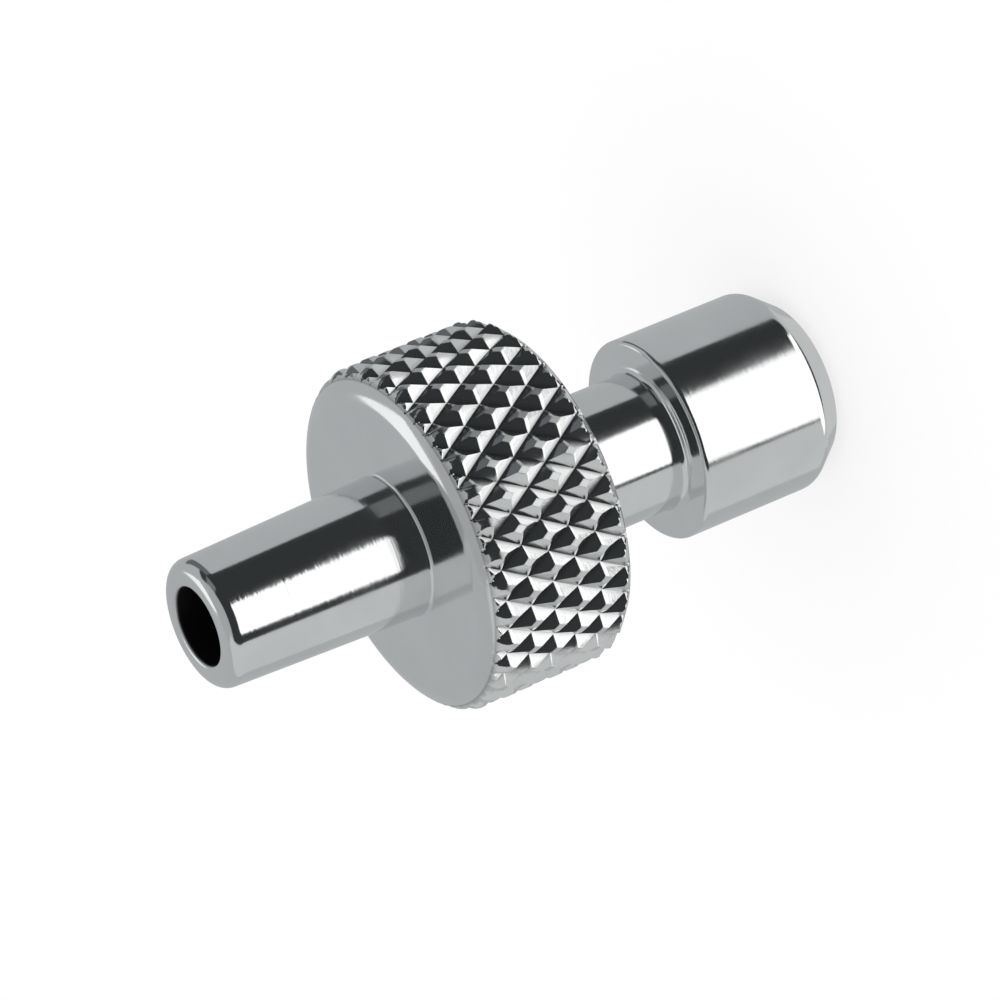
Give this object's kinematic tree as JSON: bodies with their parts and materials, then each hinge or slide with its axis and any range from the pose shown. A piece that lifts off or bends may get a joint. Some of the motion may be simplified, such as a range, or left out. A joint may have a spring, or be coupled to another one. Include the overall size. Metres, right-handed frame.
{
  "type": "pneumatic test connector",
  "caption": "Straight turned metal hose connector with a tapered nozzle, a diamond-knurled grip collar, a neck and a plain push-in plug.",
  "frame": {"origin": "centre of the plug's flat end face, on the axis of the bore", "axes": "+Z along the bore from the plug's end to the nozzle's tip; +X and +Y are square to it, and the knurl is the only thing that turns with them"},
  "size_m": [0.0106, 0.0106, 0.0206],
  "materials": {
    "plated_metal": "polished"
  },
  "bodies": {
    "root": {"connector_body": "plated_metal"}
  },
  "joints": []
}
